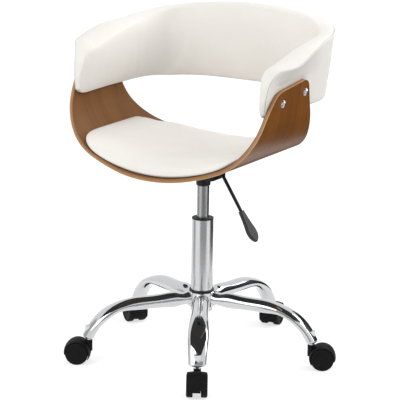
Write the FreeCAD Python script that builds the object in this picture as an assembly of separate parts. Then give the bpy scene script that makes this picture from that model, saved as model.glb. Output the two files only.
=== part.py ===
import FreeCAD, Part
import math
import os

V = FreeCAD.Vector
os.makedirs("parts", exist_ok=True)

# Office chair: a bent plywood shell with a wrap-around padded back, on a gas lift and a five-arm
# caster base. +Z is up, the chair faces -Y, the sitter's left is +X. The origin is on the floor,
# on the swivel axis.

# overall placing
gap = 0.25
overrun = 20.0
arm_count = 5
star_turn_deg = -60.3
caster_turns_deg = (1.0, 16.0, 15.0, -10.0, -20.0)

# hub and arms
hub_radius = 33.0
hub_bottom = 119.5
hub_top = 155.5
hub_chamfer = 1.5
hub_ring_radius = 28.5
hub_ring_height = 2.5
arm_wall = 1.8
arm_root_radius = 26.0
arm_bend_radius = 115.0
arm_bend_height = 133.5
arm_end_run = 14.0
arm_end_lead = 3.8
arm_end_height = 62.5
arm_end_round = 4.0
arm_root_width = 36.0
arm_bend_width = 47.0
arm_end_width = 40.0
arm_root_depth = 35.5
arm_bend_depth = 22.5
arm_end_depth = 25.0
# places of the cross-sections along the straight root and along the bend
arm_root_shares = (0.0, 0.25, 0.5, 0.75)
arm_bend_shares = (0.0, 0.25, 0.5, 0.75, 1.0)

# column and gas lift
column_radius = 25.0
column_wall = 2.0
column_bottom = 108.0
column_top = 325.0
column_floor = 3.0
column_lip = 1.2
fit = 0.05
bush_flange_height = 3.0
bush_depth = 75.0
bush_round = 1.0
rod_radius = 5.0
rod_top = 330.0
piston_height = 12.0
clip_radius = 10.0
clip_height = 1.6
rod_tail = 4.0
bearing_radius = 13.0
bearing_height = 6.0
bumper_radius = 12.0
bumper_height = 12.0
lift_radius = 14.0
lift_wall = 3.0
lift_bottom = 228.0
lift_cap = 10.0
lift_crown = 9.0
taper_bottom = 403.0
taper_top = 429.0
taper_top_radius = 13.2
button_radius = 4.0
button_top = 433.7
button_foot = 8.0
button_travel = 4.2

# casters
pivot_radius = 266.0
trail = 26.0
wheel_radius = 26.5
wheel_width = 14.5
wheel_inner = 9.0
wheel_round = 4.0
wheel_dish_radius = 19.0
wheel_dish_depth = 1.2
wheel_cap_radius = 8.0
wheel_cap_height = 0.9
axle_radius = 3.0
axle_inset = 3.0
hood_gap = 0.9
hood_wall = 3.4
hood_edge_wall = 1.0
hood_half_width = 22.4
hood_front_deg = 209.0
hood_back_deg = -5.0
web_half_width = 8.5
web_radius = 24.0
boss_radius = 8.4
boss_top = 56.6
boss_bottom = 30.0
eye_radius = 9.0
stem_radius = 5.5
stem_bottom = 36.0
stem_insert = 26.0
stem_collar_radius = 7.5
stem_collar_gap = 0.3
socket_wall = 3.0

# plywood shell: a wide arc under the seat, a tighter arc at each corner, a flat flared arm
shell_bottom = 459.0
ply = 9.0
seat_arc_radius = 435.0
seat_arc_deg = 21.8
corner_radius = 145.0
arm_rise_deg = 82.0
shell_front = 232.0
shell_rear = 167.0
arm_top_front_height = 665.0
arm_top_slope = 15.0
arm_top_front = 126.0
arm_top_rear = 4.0
arm_front_round = 45.0
arm_rear_round = 24.0
# shares of the front and rear depths, and of the height from the seat to the arm's top
front_edge_shares = ((0.94, 0.10), (0.87, 0.31), (0.79, 0.52), (0.69, 0.76))
rear_edge_shares = ((0.90, 0.075), (0.75, 0.165), (0.54, 0.30), (0.33, 0.50), (0.18, 0.74))

# mounting plate, housing, socket
plate_thickness = 2.5
plate_half_width = 78.0
plate_half_depth = 74.0
plate_corner = 12.0
plate_bolt_deg = 7.9
plate_bolt_reach = 54.0
housing_half_width = 42.0
housing_half_depth = 32.0
housing_floor = 423.0
housing_wall = 2.5
housing_round = 7.0
socket_radius = 16.5
socket_round = 3.0
bolt_shank = 3.0
bolt_head_radius = 5.5
bolt_head_height = 3.6
bolt_washer_radius = 7.5
bolt_washer_height = 1.2
bolt_into_shell = 7.0

# lever
lever_radius = 4.0
lever_rise = 15.0
lever_y = -11.0
lever_inner = -4.0
lever_pivot_x = 30.0
lever_bend_x = 56.0
lever_bend_radius = 16.0
lever_droop_deg = 57.0
lever_straight = 111.0
lever_eye_radius = 6.0
lever_eye_half = 7.0
pin_radius = 3.0
lever_slot_down = 0.8
lever_slot_up = 3.0
paddle_length = 77.0
paddle_neck = 14.0
paddle_width = 33.0
paddle_thickness = 9.0
paddle_edge = 2.5
paddle_overlap = 18.0
paddle_wide_share = 0.62

# seat board, cushion and its screws
board_thickness = 5.0
board_inset = 16.0
cushion_side_deg = 52.0
cushion_middle = 27.0
cushion_edge = 13.0
cushion_front = 214.0
cushion_front_side = 199.0
cushion_rear = 153.0
cushion_rear_side = 60.0
cushion_side = 203.0
cushion_corner = 45.0
# places along the cushion and its height there, as shares of its reach and of its full height
crown_front_shares = ((1.02, 0.40), (0.98, 0.68), (0.90, 0.88), (0.72, 0.98), (0.35, 1.0))
crown_rear_shares = ((0.2, 1.0), (0.65, 0.98), (0.88, 0.88), (0.97, 0.68), (1.03, 0.40))
crown_side_share = -0.2
crown_reach_share = 1.05
screw_front_deg = 15.7
screw_front_y = -145.0
screw_rear_deg = 16.9
screw_rear_y = 85.0
screw_head_radius = 8.0
screw_head_height = 4.5
screw_shank = 2.5

# backrest band
band_drop = 54.0
facing_thickness = 2.0
core_thickness = 5.0
core_rise = 8.0
arm_bolt_drops = (25.0, 14.0)
arm_bolt_places = (-99.0, -3.0)
arm_bolt_head = 9.0
arm_bolt_dome = 5.5
arm_bolt_shank = 3.8
tee_radius = 9.0
tee_thickness = 1.2
tee_barrel = 5.0
band_seat_gap = 0.45

# half of the band, from the front end of the arm to the middle of the back. Each row places the
# foot of one cross-section in plan and turns its inward direction; "arm" rows stand on the arm.
front_reach = 157.0
back_reach = 221.0
band_swell = 3.3
# rows: x share of the half width, which swells past the arm's face (0 stands for the arm's face),
# y share of front_reach (negative) or back_reach (positive), inward turn in degrees
band_plan_shares = (
    (0, -1.0, 0.0), (0, -0.945, 0.0), (0, -0.82, 0.0), (0, -0.57, 0.0), (0, -0.09, 0.0),
    (0, 0.13, 0.0), (0.985, 0.30, 8.0), (0.965, 0.525, 24.0), (0.865, 0.765, 45.0),
    (0.63, 0.93, 67.0), (0.33, 0.985, 82.0), (0.0, 1.0, 90.0))
band_height = 180.0
band_depth = 50.0
# section points as shares of band_depth inward and of band_height up: step of the outer face,
# outer crease, inner crease, middle of the inner face, inner foot; and the foot's own rise
band_section_shares = (
    ((-0.10, 0.16), (-0.09, 0.25), (0.22, 0.25), (0.25, 0.15), (0.21, 0.06), 0.055),
    ((-0.16, 0.28), (-0.20, 0.43), (0.31, 0.41), (0.30, 0.22), (0.20, 0.02), 0.015),
    ((-0.22, 0.36), (-0.43, 0.56), (0.38, 0.545), (0.36, 0.27), (0.19, 0.0), 0.0),
    ((-0.26, 0.39), (-0.92, 0.615), (0.40, 0.60), (0.40, 0.30), (0.19, 0.0), 0.0),
    ((-0.26, 0.40), (-0.84, 0.73), (0.36, 0.71), (0.46, 0.33), (0.21, 0.0), 0.0),
    ((-0.26, 0.42), (-0.68, 0.765), (0.36, 0.75), (0.49, 0.34), (0.24, 0.0), 0.0),
    ((-0.25, 0.44), (-0.47, 0.79), (0.34, 0.78), (0.54, 0.36), (0.28, 0.0), 0.0),
    ((-0.23, 0.45), (-0.41, 0.825), (0.35, 0.815), (0.62, 0.39), (0.37, 0.0), 0.0),
    ((-0.20, 0.46), (-0.32, 0.875), (0.42, 0.865), (0.70, 0.43), (0.46, 0.0), 0.0),
    ((-0.14, 0.48), (-0.25, 0.925), (0.46, 0.915), (0.72, 0.47), (0.46, 0.0), 0.0),
    ((-0.11, 0.50), (-0.22, 0.97), (0.46, 0.96), (0.70, 0.49), (0.44, 0.0), 0.0),
    ((-0.10, 0.50), (-0.20, 0.995), (0.46, 0.985), (0.68, 0.50), (0.44, 0.0), 0.0))
roll_share = 0.16
foot_roll_share = 0.1
facing_reach_share = 0.86


def cylinder(radius, bottom, top, x=0.0, y=0.0):
    return Part.makeCylinder(radius, top - bottom, V(x, y, bottom))


def ring(outer, inner, bottom, top):
    return cylinder(outer, bottom, top).cut(cylinder(inner, bottom - overrun, top + overrun))


def box(x0, x1, y0, y1, z0, z1):
    return Part.makeBox(x1 - x0, y1 - y0, z1 - z0, V(x0, y0, z0))


def arc(a, b, c):
    return Part.Arc(a, b, c).toShape()


def line(a, b):
    return Part.makeLine(a, b)


def spline(points):
    curve = Part.BSplineCurve()
    curve.interpolate(points)
    return curve.toShape()


def prism(edges, direction):
    return Part.Face(Part.Wire(edges)).extrude(direction)


def turned(shape, degrees, centre=V(0, 0, 0), axis=V(0, 0, 1)):
    copy = shape.copy()
    copy.rotate(centre, axis, degrees)
    return copy


def moved(shape, vector):
    copy = shape.copy()
    copy.translate(vector)
    return copy


def mirrored(shape):
    return shape.mirror(V(0, 0, 0), V(1, 0, 0))


def revolved(points, origin=V(0, 0, 0), axis=V(0, 0, 1), degrees=360.0):
    return Part.Face(Part.makePolygon(points + [points[0]])).revolve(origin, axis, degrees)


def save(shape, name):
    shape.exportStep("parts/" + name + ".step")
    solids = len(shape.Solids)
    print(name, solids, shape.isValid(), round(shape.Volume))


def save_group(shapes, name):
    save(Part.makeCompound(shapes), name)


# Base
hub = cylinder(hub_radius, hub_bottom, hub_top)
hub = hub.makeChamfer(hub_chamfer, [e for e in hub.Edges if e.Closed])
hub = hub.cut(cylinder(column_radius + fit, hub_bottom - overrun, hub_top + overrun))
save(hub, "base_hub")
save(ring(hub_ring_radius, column_radius + fit, hub_top, hub_top + hub_ring_height), "hub_ring")


# the arm bends down until it is just above its end, there over the caster's stem
arm_root_height = hub_top - arm_root_depth / 2
arm_fall = arm_bend_height - arm_end_height - arm_end_lead
arm_end_turn = math.acos(1 - arm_fall / arm_bend_radius)
arm_bend_start = pivot_radius - arm_bend_radius * math.sin(arm_end_turn)


def arm_section(run, height, turn, width, depth):
    # an ellipse across the arm, its plane turned with the bend
    centre = V(run, 0, height)
    across = V(0, 1, 0)
    up = V(math.sin(turn), 0, math.cos(turn))
    ellipse = Part.Ellipse(centre + across * (width / 2), centre + up * (depth / 2), centre)
    return Part.Wire(ellipse.toShape())


def arm_form(wall):
    sections = []
    for share in arm_root_shares:
        run = arm_root_radius + (arm_bend_start - arm_root_radius) * share
        width = arm_root_width + (arm_bend_width - arm_root_width) * share / 2
        depth = arm_root_depth + (arm_bend_depth - arm_root_depth) * share / 2
        height = arm_root_height + (arm_bend_height - arm_root_height) * share
        sections.append(arm_section(run, height, 0.0, width - 2 * wall, depth - 2 * wall))
    for share in arm_bend_shares:
        turn = arm_end_turn * share
        run = arm_bend_start + arm_bend_radius * math.sin(turn)
        height = arm_bend_height - arm_bend_radius * (1 - math.cos(turn))
        swell = 1 - abs(share - 0.5) * 2
        base_width = arm_end_width if share > 0.5 else (arm_root_width + arm_bend_width) / 2
        width = base_width + (arm_bend_width - base_width) * swell
        depth = arm_bend_depth if share > 0 else (arm_root_depth + arm_bend_depth) / 2
        if share == 1.0:
            depth = arm_end_depth
        sections.append(arm_section(run, height, turn, width - 2 * wall, depth - 2 * wall))
    run += arm_end_run * math.cos(turn)
    height -= arm_end_run * math.sin(turn)
    sections.append(arm_section(run, height, turn, arm_end_width - 2 * wall,
                                arm_end_depth - 2 * wall))
    return Part.makeLoft(sections, True)


far = arm_bend_start + 2 * arm_bend_radius


def above(shape, height):
    return shape.cut(box(0, far, -far, far, -overrun, height))


arm = above(arm_form(0.0), arm_end_height)
end_edges = [e for e in arm.Edges
             if abs(e.BoundBox.ZMax - arm_end_height) < fit and abs(e.BoundBox.ZMin - arm_end_height) < fit]
arm = arm.makeFillet(arm_end_round, end_edges)
arm = arm.cut(above(arm_form(arm_wall), arm_end_height + arm_wall))
socket_top = arm_end_height + stem_insert
socket = cylinder(stem_radius + socket_wall, arm_end_height + arm_wall, socket_top, pivot_radius)
arm = arm.fuse(socket)
arm = arm.cut(cylinder(stem_radius + fit, arm_end_height - overrun, socket_top + fit, pivot_radius))
arm = arm.cut(cylinder(hub_radius, hub_bottom - overrun, hub_top + overrun))
arm_turns = [star_turn_deg + 360.0 * k / arm_count for k in range(arm_count)]
for k, turn_deg in enumerate(arm_turns):
    save(turned(arm, turn_deg), "base_arm_%d" % (k + 1))

column_inner = column_radius - column_wall
column = ring(column_radius, column_inner, column_bottom, column_top)
floor_top = column_bottom + column_floor
column = column.fuse(ring(column_inner, rod_radius + column_lip, column_bottom, floor_top))
save(column.removeSplitter(), "column_tube")
bush = cylinder(column_radius, column_top, column_top + bush_flange_height)
bush = bush.makeFillet(bush_round, [e for e in bush.Edges
                                    if e.Closed and e.BoundBox.ZMin > column_top + fit])
bush = bush.fuse(cylinder(column_inner - fit, column_top - bush_depth, column_top))
bush = bush.cut(cylinder(lift_radius + fit, column_top - bush_depth - overrun,
                         column_top + bush_flange_height + overrun))
save(bush.removeSplitter(), "column_bush")

# Gas lift
piston_radius = lift_radius - lift_wall - fit
rod = cylinder(rod_radius, column_bottom - rod_tail, rod_top)
rod = rod.fuse(cylinder(piston_radius, rod_top - piston_height, rod_top)).removeSplitter()
save(rod, "piston_rod")
save(ring(clip_radius, rod_radius, column_bottom - clip_height - gap, column_bottom - gap),
     "rod_clip")
bearing_bottom = floor_top + gap
bearing_top = bearing_bottom + bearing_height
save(ring(bearing_radius, rod_radius, bearing_bottom, bearing_top), "thrust_bearing")
save(ring(bumper_radius, rod_radius, bearing_top, bearing_top + bumper_height), "lift_bumper")

lift = cylinder(lift_radius, lift_bottom, taper_bottom)
cone = Part.makeCone(lift_radius, taper_top_radius, taper_top - taper_bottom, V(0, 0, taper_bottom))
lift = lift.fuse(cone).removeSplitter()
lift = lift.cut(cylinder(lift_radius - lift_wall, lift_bottom + lift_cap,
                         taper_top - lift_crown - button_foot))
lift = lift.cut(cylinder(rod_radius + fit, lift_bottom - overrun, lift_bottom + lift_cap + fit))
button_bottom = taper_top - button_foot
lift = lift.cut(cylinder(button_radius + fit, button_bottom - button_travel, taper_top + overrun))
save(lift, "gas_cylinder")
save(cylinder(button_radius, button_bottom + fit, button_top), "release_button")

# Casters
axle_z = wheel_radius
axle_at = V(trail, 0, axle_z)
side = V(0, 1, 0)
axle_half = wheel_inner + wheel_width - axle_inset


def wheel():
    # profile in the plane of the axle: y along the axle, radius across
    outer = wheel_inner + wheel_width
    rim_in = wheel_inner + wheel_round / 2
    rim_out = outer - wheel_round
    cap_out = outer - wheel_dish_depth + wheel_cap_height

    def at(y, radius):
        return V(trail, y, axle_z + radius)
    bore = axle_radius + fit
    bore_end = axle_half + gap
    edges = [line(at(wheel_inner, bore), at(wheel_inner, wheel_radius - wheel_round / 2)),
             arc(at(wheel_inner, wheel_radius - wheel_round / 2),
                 at(wheel_inner + wheel_round / 2 * (1 - math.sqrt(0.5)),
                    wheel_radius - wheel_round / 2 * (1 - math.sqrt(0.5))),
                 at(rim_in, wheel_radius)),
             line(at(rim_in, wheel_radius), at(rim_out, wheel_radius)),
             arc(at(rim_out, wheel_radius),
                 at(outer - wheel_round * (1 - math.sqrt(0.5)),
                    wheel_radius - wheel_round * (1 - math.sqrt(0.5))),
                 at(outer, wheel_radius - wheel_round)),
             line(at(outer, wheel_radius - wheel_round), at(outer, wheel_dish_radius)),
             line(at(outer, wheel_dish_radius),
                  at(outer - wheel_dish_depth, wheel_dish_radius - wheel_dish_depth)),
             line(at(outer - wheel_dish_depth, wheel_dish_radius - wheel_dish_depth),
                  at(outer - wheel_dish_depth, wheel_cap_radius)),
             line(at(outer - wheel_dish_depth, wheel_cap_radius),
                  at(cap_out, wheel_cap_radius - wheel_cap_height)),
             line(at(cap_out, wheel_cap_radius - wheel_cap_height), at(cap_out, 0)),
             line(at(cap_out, 0), at(bore_end, 0)),
             line(at(bore_end, 0), at(bore_end, bore)),
             line(at(bore_end, bore), at(wheel_inner, bore))]
    return Part.Face(Part.Wire(edges)).revolve(axle_at, side, 360)


def hood():
    inner = wheel_radius + hood_gap
    edge = inner + hood_edge_wall
    crown = inner + hood_wall

    def at(y, radius):
        return V(trail + radius, y, axle_z)
    edges = [line(at(-hood_half_width, inner), at(hood_half_width, inner)),
             line(at(hood_half_width, inner), at(hood_half_width, edge)),
             arc(at(hood_half_width, edge), at(0, crown), at(-hood_half_width, edge)),
             line(at(-hood_half_width, edge), at(-hood_half_width, inner))]
    cover = Part.Face(Part.Wire(edges))
    cover = cover.revolve(axle_at, -side, hood_front_deg - hood_back_deg)
    cover = turned(cover, -hood_back_deg, axle_at, side)
    # the face starts along +x and turns up over the wheels to the stem side
    web = Part.makeCylinder(crown - hood_edge_wall, 2 * web_half_width,
                            V(trail, -web_half_width, axle_z), side)
    below = box(-far, far, -far, far, -far, axle_z - web_half_width)
    web = web.cut(below)
    eye = Part.makeCylinder(eye_radius, 2 * web_half_width,
                            V(trail, -web_half_width, axle_z), side)
    boss = cylinder(boss_radius, boss_bottom, boss_top)
    body = cover.fuse([web, eye, boss]).removeSplitter()
    body = body.cut(cylinder(stem_radius + fit, stem_bottom - fit, boss_top + overrun))
    return body.cut(Part.makeCylinder(axle_radius, 4 * hood_half_width,
                                      V(trail, -2 * hood_half_width, axle_z), side))


axle = Part.makeCylinder(axle_radius, 2 * axle_half, V(trail, -axle_half, axle_z), side)
one_wheel = wheel()
one_hood = hood()
stem = cylinder(stem_radius, stem_bottom, socket_top)
stem = stem.fuse(cylinder(stem_collar_radius, boss_top + stem_collar_gap, arm_end_height))
stem = stem.removeSplitter()
stems = []
for k, turn_deg in enumerate(arm_turns):
    def placed(shape, own_turn):
        return turned(moved(turned(shape, own_turn), V(pivot_radius, 0, 0)), turn_deg)
    own = caster_turns_deg[k]
    name = "caster_%d_" % (k + 1)
    stems.append(placed(stem, 0.0))
    save(placed(one_hood, own), name + "hood")
    save(placed(axle, own), name + "axle")
    save(placed(one_wheel, own), name + "wheel_left")
    save(placed(turned(one_wheel, 180.0, V(trail, 0, 0)), own), name + "wheel_right")
save_group(stems, "caster_stems")

# Plywood shell
seat_axis_z = shell_bottom + seat_arc_radius
seat_arc = math.radians(seat_arc_deg)
rise = math.radians(arm_rise_deg)
arm_top_rear_height = arm_top_front_height + arm_top_slope
band_bottom = arm_top_front_height - band_drop
corner_x = (seat_arc_radius - corner_radius) * math.sin(seat_arc)
corner_z = seat_axis_z - (seat_arc_radius - corner_radius) * math.cos(seat_arc)


def on_corner(depth, angle):
    reach = corner_radius - depth
    return V(corner_x + reach * math.sin(angle), 0, corner_z - reach * math.cos(angle))


def on_seat(depth, angle):
    reach = seat_arc_radius - depth
    return V(reach * math.sin(angle), 0, seat_axis_z - reach * math.cos(angle))


def flip(point):
    return V(-point.x, point.y, point.z)


def band_line(depth, top_angle=rise, run=0.0):
    # half of the shell's line at a depth inside its outer face: seat arc, corner arc, arm
    mid = (seat_arc + top_angle) / 2
    top = on_corner(depth, top_angle)
    edges = [arc(on_seat(depth, 0.0), on_seat(depth, seat_arc / 2), on_seat(depth, seat_arc)),
             arc(on_seat(depth, seat_arc), on_corner(depth, mid), top)]
    if run:
        end = top + V(math.cos(top_angle), 0, math.sin(top_angle)) * run
        edges.append(line(top, end))
        top = end
    return edges, top


def shell_band(outer, inner, top_angle=rise, run=0.0):
    first, first_end = band_line(outer, top_angle, run)
    second, second_end = band_line(inner, top_angle, run)
    half = first + [line(first_end, second_end)] + second
    half.append(line(on_seat(inner, 0.0), on_seat(outer, 0.0)))
    face = Part.Face(Part.Wire(Part.__sortEdges__(half)))
    solid = moved(face, V(0, -far, 0)).extrude(V(0, 2 * far, 0))
    return solid.fuse(mirrored(solid)).removeSplitter()


arm_run = (arm_top_rear_height + overrun - on_corner(0.0, rise).z) / math.sin(rise)


def side_point(depth, height_share):
    height = shell_bottom + (arm_top_front_height - shell_bottom) * height_share
    return V(0, depth, height)


low = shell_bottom - overrun
front_points = [V(0, -shell_front, low), V(0, -shell_front, shell_bottom)]
front_points += [side_point(-shell_front * s, h) for s, h in front_edge_shares]
front_points.append(V(0, -arm_top_front, arm_top_front_height))
rear_points = [V(0, shell_rear, low), V(0, shell_rear, shell_bottom)]
rear_points += [side_point(shell_rear * s, h) for s, h in rear_edge_shares]
rear_points.append(V(0, arm_top_rear, arm_top_rear_height))
outline = [spline(front_points), line(front_points[-1], rear_points[-1]),
           spline(rear_points), line(rear_points[0], front_points[0])]
profile = Part.Face(Part.Wire(Part.__sortEdges__(outline)))
side_cut = moved(profile, V(-far, 0, 0)).extrude(V(2 * far, 0, 0))


def long_edges_at(shape, y, z):
    return [e for e in shape.Edges if e.BoundBox.XLength > far
            and abs(e.BoundBox.YMin - y) < fit and abs(e.BoundBox.ZMin - z) < fit]


side_cut = side_cut.makeFillet(arm_front_round,
                               long_edges_at(side_cut, -arm_top_front, arm_top_front_height))
side_cut = side_cut.makeFillet(arm_rear_round,
                               long_edges_at(side_cut, arm_top_rear, arm_top_rear_height))
shell = shell_band(0.0, ply, rise, arm_run).common(side_cut)


def under_seat(shape, angle_deg, y):
    # a fastener drawn about the seat arc's axis, pointing down, swung out to its place
    return moved(turned(shape, -angle_deg, V(0, 0, 0), V(0, 1, 0)), V(0, y, seat_axis_z))


def arm_angle(height):
    # how steeply the arm's inner face stands at a height: on the corner's arc, or straight above it
    drop_share = (corner_z - height) / (corner_radius - ply)
    return rise if drop_share < math.cos(rise) else math.acos(drop_share)


def arm_face(height):
    # the inner face of the arm
    foot = on_corner(ply, arm_angle(height))
    return foot.x + (height - foot.z) / math.tan(rise)


def at_arm(shape, height, y):
    # a fastener drawn along +X from the inner face of the arm, leaned square to it
    lean_deg = 90.0 - math.degrees(arm_angle(height))
    return moved(turned(shape, lean_deg, V(0, 0, 0), V(0, 1, 0)), V(arm_face(height), y, height))


seat_places = [(a, y) for a in (-screw_front_deg, screw_front_deg) for y in (screw_front_y,)]
seat_places += [(a, screw_rear_y) for a in (-screw_rear_deg, screw_rear_deg)]
plate_places = [(a, y) for a in (-plate_bolt_deg, plate_bolt_deg)
                for y in (-plate_bolt_reach, plate_bolt_reach)]
arm_places = [(arm_top_front_height - drop, y) for drop, y in zip(arm_bolt_drops, arm_bolt_places)]


def down_cylinder(radius, near, away):
    return Part.makeCylinder(radius, away - near, V(0, 0, -away))


def dome(radius, height, centre, direction):
    # a shallow cap of a ball on a flat seat
    ball = (radius * radius + height * height) / (2 * height)
    cap = Part.makeSphere(ball, centre + direction * (height - ball))
    keep = Part.makeCylinder(radius, ball, centre, direction)
    return cap.common(keep)


for angle, y in seat_places:
    hole = down_cylinder(screw_shank + fit, seat_arc_radius - ply - overrun, seat_arc_radius + overrun)
    shell = shell.cut(under_seat(hole, angle, y))
for angle, y in plate_places:
    hole = down_cylinder(bolt_shank + fit, seat_arc_radius - bolt_into_shell, seat_arc_radius + overrun)
    shell = shell.cut(under_seat(hole, angle, y))
for height, y in arm_places:
    hole = Part.makeCylinder(arm_bolt_shank + fit, ply + 2 * overrun, V(-overrun, 0, 0), V(1, 0, 0))
    hole = at_arm(hole, height, y)
    shell = shell.cut(hole).cut(mirrored(hole))
save(shell, "plywood_shell")

# Mounting plate, housing and socket
lever_height = housing_floor + lever_rise
plate_face = Part.makeCylinder(seat_arc_radius + plate_thickness, 2 * far, V(0, -far, seat_axis_z), side)
plate_top = Part.makeCylinder(seat_arc_radius + gap, 2 * far, V(0, -far, seat_axis_z), side)
blank = box(-plate_half_width, plate_half_width, -plate_half_depth, plate_half_depth,
            housing_floor, shell_bottom + overrun)
blank = blank.makeFillet(plate_corner, [e for e in blank.Edges
                                        if e.BoundBox.ZLength > overrun])
plate = blank.common(plate_face.cut(plate_top))
for angle, y in plate_places:
    hole = down_cylinder(bolt_shank + fit, seat_arc_radius - overrun, seat_arc_radius + overrun)
    plate = plate.cut(under_seat(hole, angle, y))
save(plate, "mounting_plate")

housing = box(-housing_half_width, housing_half_width, -housing_half_depth, housing_half_depth,
              housing_floor, shell_bottom + overrun)
housing = housing.makeFillet(housing_round, [e for e in housing.Edges
                                             if e.BoundBox.ZLength > overrun])
inside_x = housing_half_width - housing_wall
inside_y = housing_half_depth - housing_wall
room = box(-inside_x, inside_x, -inside_y, inside_y, housing_floor + housing_wall,
           shell_bottom + 2 * overrun)
room = room.makeFillet(housing_round - housing_wall, [e for e in room.Edges
                                                      if e.BoundBox.ZLength > overrun])
housing = housing.cut(room).cut(plate_face)
slot_low = lever_height - lever_radius - lever_slot_down
slot_high = lever_height + lever_radius + lever_slot_up
slot_half = lever_radius + lever_slot_down
housing = housing.cut(box(inside_x - overrun / 2, housing_half_width + overrun,
                          lever_y - slot_half, lever_y + slot_half, slot_low, slot_high))
housing = housing.cut(cylinder(taper_top_radius + lift_wall, housing_floor - overrun,
                               housing_floor + housing_wall + fit))
pin_hole = Part.makeCylinder(pin_radius, 2 * far, V(lever_pivot_x, -far, lever_height), side)
housing = housing.cut(pin_hole)
save(housing, "seat_housing")
save(Part.makeCylinder(pin_radius, 2 * housing_half_depth,
                       V(lever_pivot_x, -housing_half_depth, lever_height), side), "lever_pin")

socket_top_z = housing_floor + housing_wall
socket_body = cylinder(taper_top_radius + lift_wall, taper_bottom, socket_top_z)
socket_low = cylinder(socket_radius, taper_bottom, housing_floor)
socket_low = socket_low.makeFillet(socket_round, [e for e in socket_low.Edges
                                                  if e.Closed and e.BoundBox.ZMax < taper_bottom + fit])
slope = (lift_radius - taper_top_radius) / (taper_top - taper_bottom)
bore_top = lift_radius - slope * (socket_top_z + fit - taper_bottom) + fit
socket_bore = Part.makeCone(lift_radius + fit, bore_top, socket_top_z + fit - taper_bottom,
                            V(0, 0, taper_bottom))
socket_cut = cylinder(lift_radius + fit, taper_bottom - overrun, taper_bottom)
save(socket_low.fuse(socket_body.cut(cylinder(socket_radius * 2, taper_bottom, housing_floor)))
     .removeSplitter().cut(socket_bore).cut(socket_cut), "taper_socket")

plate_reach = seat_arc_radius + plate_thickness
washer_reach = plate_reach + bolt_washer_height
bolt = down_cylinder(bolt_shank, seat_arc_radius - bolt_into_shell + fit, washer_reach)
bolt = bolt.fuse(down_cylinder(bolt_head_radius, washer_reach, washer_reach + bolt_head_height))
washer = down_cylinder(bolt_washer_radius, plate_reach, washer_reach)
washer = washer.cut(down_cylinder(bolt_shank + fit, plate_reach - overrun, washer_reach + overrun))
save_group([under_seat(bolt.removeSplitter(), a, y) for a, y in plate_places], "plate_bolts")
save_group([under_seat(washer, a, y) for a, y in plate_places], "plate_washers")

# Lever
droop = math.radians(lever_droop_deg)
bend_at = V(lever_bend_x, lever_y, lever_height)
trim = lever_bend_radius * math.tan(droop / 2)
away = V(math.cos(droop), 0, -math.sin(droop))
first = V(lever_inner, lever_y, lever_height)
before = bend_at - V(trim, 0, 0)
after = bend_at + away * trim
centre = before - V(0, 0, lever_bend_radius)
middle = centre + V(math.sin(droop / 2), 0, math.cos(droop / 2)) * lever_bend_radius
path = Part.Wire([line(first, before), arc(before, middle, after),
                  line(after, bend_at + away * lever_straight)])
circle = Part.Wire(Part.makeCircle(lever_radius, first, V(1, 0, 0)))
lever = path.makePipeShell([circle], True, False)
eye = Part.makeCylinder(lever_eye_radius, 2 * lever_eye_half,
                        V(lever_pivot_x, lever_y - lever_eye_half, lever_height), side)
finger = box(lever_inner, lever_pivot_x, -button_radius + lever_y, button_radius,
             lever_height - lever_radius, lever_height)
lever = lever.fuse([eye, finger]).removeSplitter()
lever = lever.cut(Part.makeCylinder(pin_radius + fit, 2 * far, V(lever_pivot_x, -far, lever_height), side))
save(lever, "lever_rod")

# the paddle is drawn along +X and leaned down the rod: neck, swelling outline, round tip
half_neck = paddle_neck / 2
half_width = paddle_width / 2
wide = paddle_length * paddle_wide_share
tip = V(paddle_length, 0, 0)
widest = V(wide, half_width, 0)
neck = V(0, half_neck, 0)
mid_neck = V(wide / 2, (half_neck + half_width) / 2 - paddle_edge / 2, 0)
round_tip = V(wide + (paddle_length - wide) * math.sqrt(0.5), half_width * math.sqrt(0.5), 0)


def across(point):
    return V(point.x, -point.y, point.z)


paddle_edges = [spline([neck, mid_neck, widest]), spline([widest, round_tip, tip]),
                spline([tip, across(round_tip), across(widest)]),
                spline([across(widest), across(mid_neck), across(neck)]), line(across(neck), neck)]
paddle = prism(paddle_edges, V(0, 0, paddle_thickness))
paddle = moved(paddle, V(0, 0, -paddle_thickness / 2))
paddle = paddle.makeFillet(paddle_edge, [e for e in paddle.Edges
                                         if e.BoundBox.ZLength < fit and e.BoundBox.XLength > fit])
paddle = turned(paddle, lever_droop_deg, V(0, 0, 0), V(0, 1, 0))
grip_start = bend_at + away * (lever_straight - paddle_overlap)
paddle = moved(paddle, grip_start)
rod_room = Part.makeCylinder(lever_radius, paddle_overlap, grip_start, away)
save(paddle.cut(rod_room), "lever_paddle")

# Seat board, cushion and screws
def plan_prism(inset):
    front = V(0, -cushion_front + inset, 0)
    front_side = V(cushion_side - inset, -cushion_front_side + inset, 0)
    rear = V(0, cushion_rear - inset, 0)
    rear_side = V(cushion_side - inset, cushion_rear_side - inset, 0)
    edges = [arc(flip(front_side), front, front_side), line(front_side, rear_side),
             arc(rear_side, rear, flip(rear_side)), line(flip(rear_side), flip(front_side))]
    solid = prism(edges, V(0, 0, seat_axis_z))
    corners = [e for e in solid.Edges if e.BoundBox.ZLength > overrun]
    return solid.makeFillet(cushion_corner - inset / 2, corners)


board_side = math.radians(cushion_side_deg)
board = shell_band(ply + gap, ply + gap + board_thickness, board_side)
board = board.common(plan_prism(board_inset))


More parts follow.
